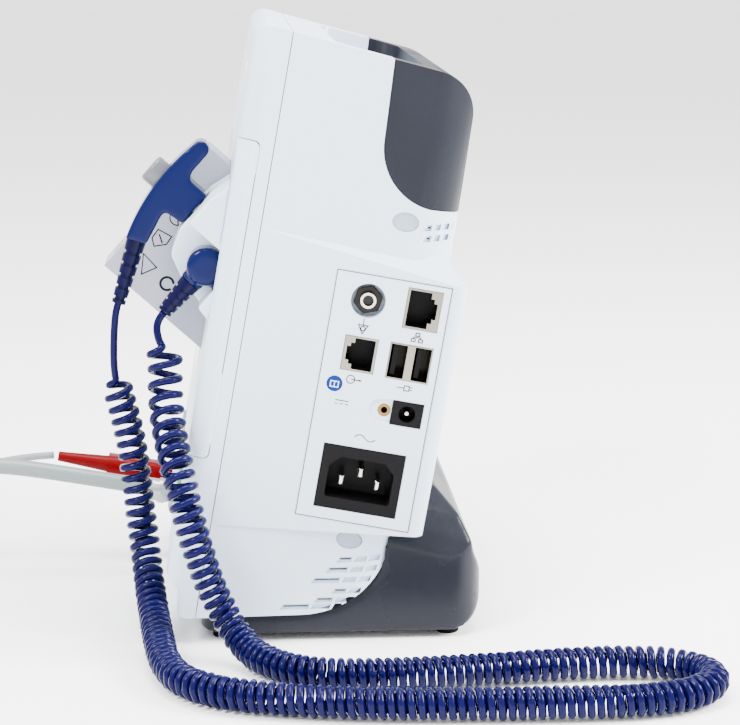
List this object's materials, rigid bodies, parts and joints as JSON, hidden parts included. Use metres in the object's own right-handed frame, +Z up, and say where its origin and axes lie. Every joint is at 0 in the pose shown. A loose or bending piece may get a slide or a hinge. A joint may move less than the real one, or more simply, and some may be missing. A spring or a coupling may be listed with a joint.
{
  "type": "vital signs monitor",
  "caption": "Bedside vital-signs monitor on a desk stand, with side sockets, a contact thermometer on a curly cord, an air hose and a sensor lead.",
  "frame": {"origin": "on the desk, under the middle of the object's bounding box measured without its cords", "axes": "+Z up; -Y the way the screen faces; +X the side with the mains, network and USB sockets"},
  "size_m": [0.2849, 0.4295, 0.2375],
  "materials": {
    "body_white": "fine-textured bluish white moulding",
    "panel_white": "fine-textured bluish white moulding",
    "grip_grey": "fine-textured blue-grey moulding",
    "plug_rubber": "matt light grey",
    "screw_steel": "plated",
    "label_print": "printed plastic sheet",
    "socket_black": "black moulding",
    "pin_metal": "nickel plated",
    "shield_metal": "tinned sheet",
    "insert_brass": "turned",
    "terminal_metal": "nickel plated",
    "screen_glass": "clear over a dark display",
    "display_dark": "dark display",
    "alarm_lens": "translucent",
    "key_grey": "satin",
    "key_amber": "satin",
    "key_green": "satin",
    "board_green": "glass fibre board with black chips",
    "supply_metal": "sheet case",
    "pump_grey": "moulding",
    "door_white": "fine-textured bluish white moulding",
    "battery_dark": "shrink-wrapped pack",
    "stand_grey": "fine-textured blue-grey moulding",
    "plate_steel": "powder coated",
    "foot_rubber": "matt black",
    "chamber_grey": "satin",
    "probe_blue": "satin blue",
    "boot_blue": "satin blue",
    "shaft_metal": "polished",
    "button_grey": "ridged",
    "box_card": "coated white",
    "cover_clear": "clear thin plastic",
    "cord_blue": "glossy dark blue",
    "fitting_metal": "turned",
    "hose_grey": "satin grey-green",
    "lead_socket_white": "satin",
    "plug_red": "satin red",
    "lead_grey": "satin grey"
  },
  "bodies": {
    "monitor": {"rear_housing": "body_white", "front_bezel": "body_white", "pod_housing": "body_white", "front_panel": "panel_white", "grip_cover": "grip_grey", "screw_plugs": "plug_rubber", "case_screws": "screw_steel", "stand_screws": "screw_steel", "hinge_pin": "screw_steel", "port_label": "label_print", "mains_inlet": "socket_black", "jack_bodies": "socket_black", "usb_tongues": "socket_black", "power_outlet": "socket_black", "mains_pins": "pin_metal", "outlet_pin": "pin_metal", "jack_shields": "shield_metal", "usb_shell": "shield_metal", "threaded_insert": "insert_brass", "earth_nut": "terminal_metal", "earth_terminal": "terminal_metal", "screen_lens": "screen_glass", "display_module": "display_dark", "alarm_light": "alarm_lens", "key_board": "board_green", "main_board": "board_green", "power_supply": "supply_metal", "air_pump": "pump_grey", "battery_pack": "battery_dark", "stand_base": "stand_grey", "base_plate": "plate_steel", "stand_feet": "foot_rubber", "isolation_chamber": "chamber_grey", "box_holder": "chamber_grey", "probe_plug": "probe_blue", "plug_boot": "boot_blue", "curly_cord": "cord_blue", "probe_tail": "cord_blue", "plug_tail": "cord_blue", "hose_socket": "fitting_metal", "hose_connector": "fitting_metal", "hose_end": "fitting_metal", "air_hose": "hose_grey", "hose_coil": "hose_grey", "lead_socket": "lead_socket_white", "lead_plug": "plug_red", "lead_end": "plug_red", "sensor_lead": "lead_grey", "lead_coil": "lead_grey"},
    "probe": {"probe_handle": "probe_blue", "probe_shaft": "shaft_metal", "probe_boot": "boot_blue"},
    "eject_button": {"eject_button": "button_grey"},
    "cover_box": {"cover_box": "box_card", "probe_covers": "cover_clear"},
    "menu_key": {"menu_key": "key_grey"},
    "alarm_key": {"alarm_key": "key_amber"},
    "pressure_key": {"pressure_key": "key_grey"},
    "power_key": {"power_key": "key_green"},
    "battery_door": {"battery_door": "door_white"}
  },
  "joints": [
    {"name": "probe_slide", "type": "slide", "parent": "monitor", "child": "probe", "axis": [0, -0.7431, 0.6691], "range_m": [0, 0.105]},
    {"name": "eject_button_press", "type": "slide", "parent": "probe", "child": "eject_button", "axis": [0, 0.7431, -0.6691], "range_m": [0, 0.003], "stiffness_N_per_m": 400, "springref_m": -0.001},
    {"name": "cover_box_slide", "type": "slide", "parent": "monitor", "child": "cover_box", "axis": [0, -0.7431, 0.6691], "range_m": [0, 0.06]},
    {"name": "menu_key_press", "type": "slide", "parent": "monitor", "child": "menu_key", "axis": [0, 0.9848, -0.1736], "range_m": [0, 0.0008], "stiffness_N_per_m": 900, "springref_m": -0.0003},
    {"name": "alarm_key_press", "type": "slide", "parent": "monitor", "child": "alarm_key", "axis": [0, 0.9848, -0.1736], "range_m": [0, 0.0008], "stiffness_N_per_m": 900, "springref_m": -0.0003},
    {"name": "pressure_key_press", "type": "slide", "parent": "monitor", "child": "pressure_key", "axis": [0, 0.9848, -0.1736], "range_m": [0, 0.0008], "stiffness_N_per_m": 900, "springref_m": -0.0003},
    {"name": "power_key_press", "type": "slide", "parent": "monitor", "child": "power_key", "axis": [0, 0.9848, -0.1736], "range_m": [0, 0.0008], "stiffness_N_per_m": 900, "springref_m": -0.0003},
    {"name": "battery_door_hinge", "type": "hinge", "parent": "monitor", "child": "battery_door", "pos_m": [-0.01, 0.05346, 0.07884], "axis": [-1, 0, 0], "range_deg": [0, 90]}
  ]
}
